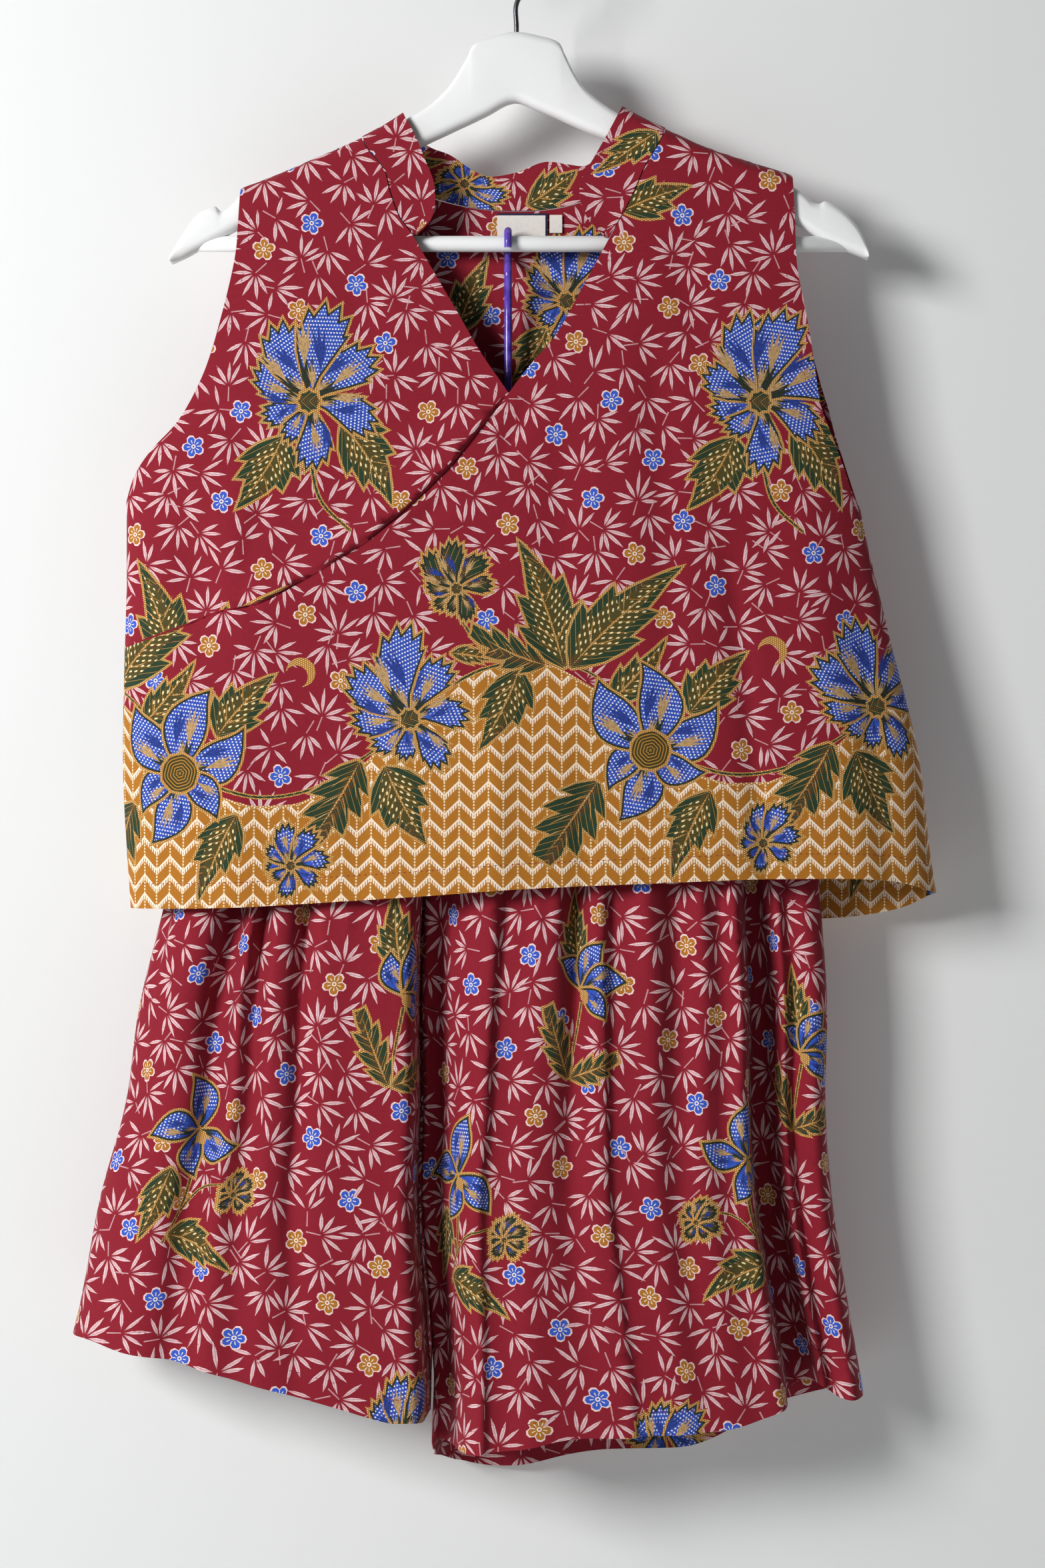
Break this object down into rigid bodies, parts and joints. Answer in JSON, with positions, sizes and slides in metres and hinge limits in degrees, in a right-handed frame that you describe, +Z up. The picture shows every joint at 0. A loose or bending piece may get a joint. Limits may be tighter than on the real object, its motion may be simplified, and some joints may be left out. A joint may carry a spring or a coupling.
{
  "type": "samfu top and shorts on a hanger",
  "caption": "Sleeveless crossover samfu top with a stand collar over wide gathered shorts, both in floral batik-style cotton, hung on a wooden hanger and a coated wire hanger",
  "frame": {"origin": "inside top of the wooden hanger's metal hook, where a rail or nail carries the set", "axes": "+X to the viewer's right along the hanger, +Z up, the front of the clothes faces -Y"},
  "size_m": [0.5318, 0.0981, 0.9574],
  "materials": {
    "printed_cotton": "crimson cotton printed with white bamboo leaves, small blossoms, large blue flowers and an ochre border",
    "label_tape": "blank white woven label with a dark edge",
    "white_paint": "smooth white painted wood",
    "hook_steel": "dull grey steel wire",
    "purple_coat": "glossy purple plastic coating on wire"
  },
  "bodies": {
    "root": {"top_front_over": "printed_cotton", "top_front_under": "printed_cotton", "top_back": "printed_cotton", "collar": "printed_cotton", "neck_label": "label_tape", "size_tab": "label_tape", "shorts_waistband": "printed_cotton", "shorts_front_left": "printed_cotton", "shorts_front_right": "printed_cotton", "shorts_back_left": "printed_cotton", "shorts_back_right": "printed_cotton", "hanger_body": "white_paint", "hanger_bar": "white_paint", "hanger_hook": "hook_steel", "inner_hanger": "purple_coat"}
  },
  "joints": []
}
